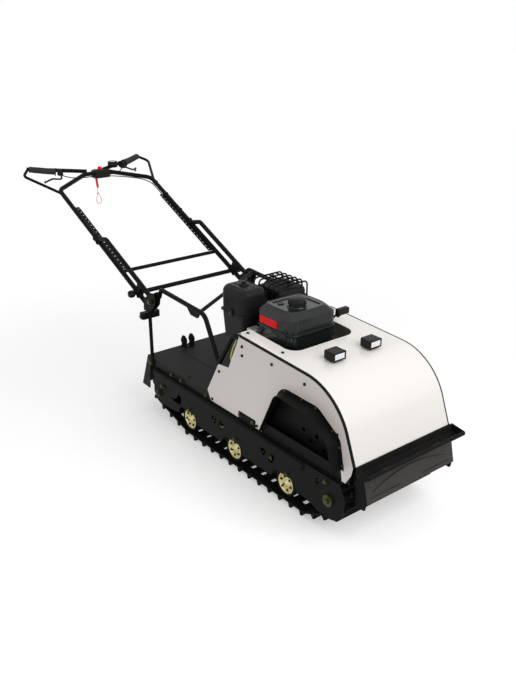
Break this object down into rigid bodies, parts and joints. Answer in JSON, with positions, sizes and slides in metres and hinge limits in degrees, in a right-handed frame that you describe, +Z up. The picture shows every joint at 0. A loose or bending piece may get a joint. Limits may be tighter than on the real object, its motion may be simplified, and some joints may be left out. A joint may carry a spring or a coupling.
{
  "type": "tracked snow towing vehicle",
  "caption": "Walk-behind motor tug on one wide rubber track, with a flat deck, a rounded cowl over the engine and a folding, telescoping handlebar.",
  "frame": {"origin": "on the ground, under the middle of the whole object with its handlebar at its working angle", "axes": "+X forward, +Y to the vehicle's left, +Z up"},
  "size_m": [2.3948, 0.726, 1.0061],
  "materials": {
    "rubber_black": "matt",
    "tyre_rubber": "matt",
    "zinc_yellow": "satin",
    "axle_steel": "satin",
    "frame_black": "satin",
    "deck_charcoal": "satin",
    "cowl_white": "gloss",
    "trim_black": "matt",
    "nose_grey": "satin",
    "plastic_black": "matt",
    "lamp_lens": "clear",
    "engine_metal": "matt",
    "tank_slate": "gloss",
    "badge_red": "gloss",
    "guard_wire": "satin",
    "grip_rubber": "matt",
    "cord_red": "satin"
  },
  "bodies": {
    "chassis": {"track": "rubber_black", "side_plates": "frame_black", "side_rails": "frame_black", "longerons": "frame_black", "cross_tubes": "frame_black", "roller_axles": "axle_steel", "roller_discs": "zinc_yellow", "roller_tyres": "tyre_rubber", "idler_axle": "axle_steel", "idler_wheels": "plastic_black", "drive_axle": "axle_steel", "drive_sprockets": "plastic_black", "rear_deck": "deck_charcoal", "deck_cover": "deck_charcoal", "engine_bed": "frame_black", "rear_guard": "deck_charcoal", "hitch_bracket": "frame_black", "side_panels": "cowl_white", "cowl": "cowl_white", "cowl_trims": "trim_black", "arch_fenders": "frame_black", "arch_wells": "frame_black", "bumper": "frame_black", "nose_plate": "nose_grey", "nose_brackets": "frame_black", "light_housings": "plastic_black", "light_lenses": "lamp_lens", "engine_block": "engine_metal", "fuel_tank": "tank_slate", "fuel_cap": "plastic_black", "tank_badge": "badge_red", "air_filter": "plastic_black", "carburettor": "engine_metal", "muffler": "guard_wire", "muffler_guard": "guard_wire", "starter_handle": "plastic_black", "support_tubes": "frame_black", "support_brace": "frame_black", "hinge_cheeks": "frame_black", "hinge_posts": "frame_black", "post_clamps": "frame_black", "hinge_bolts": "axle_steel"},
    "handlebar_lower": {"lower_side_tubes": "frame_black", "clamp_crossbar": "frame_black", "tube_guides": "frame_black"},
    "handlebar_upper": {"upper_frame": "frame_black", "slide_crossbar": "frame_black", "handle_bars": "frame_black", "grips": "grip_rubber", "lever_mounts": "plastic_black", "levers": "plastic_black", "control_box": "plastic_black", "switch_block": "plastic_black", "kill_switch": "badge_red", "lanyard_clip": "badge_red", "lanyard": "cord_red"}
  },
  "joints": [
    {"name": "handlebar_fold", "type": "hinge", "parent": "chassis", "child": "handlebar_lower", "pos_m": [-0.09813, 0, 0.5765], "axis": [0, 1, 0], "range_deg": [0, 80]},
    {"name": "handlebar_slide", "type": "slide", "parent": "handlebar_lower", "child": "handlebar_upper", "axis": [-0.9063, 0, 0.4226], "range_m": [0, 0.06]}
  ]
}
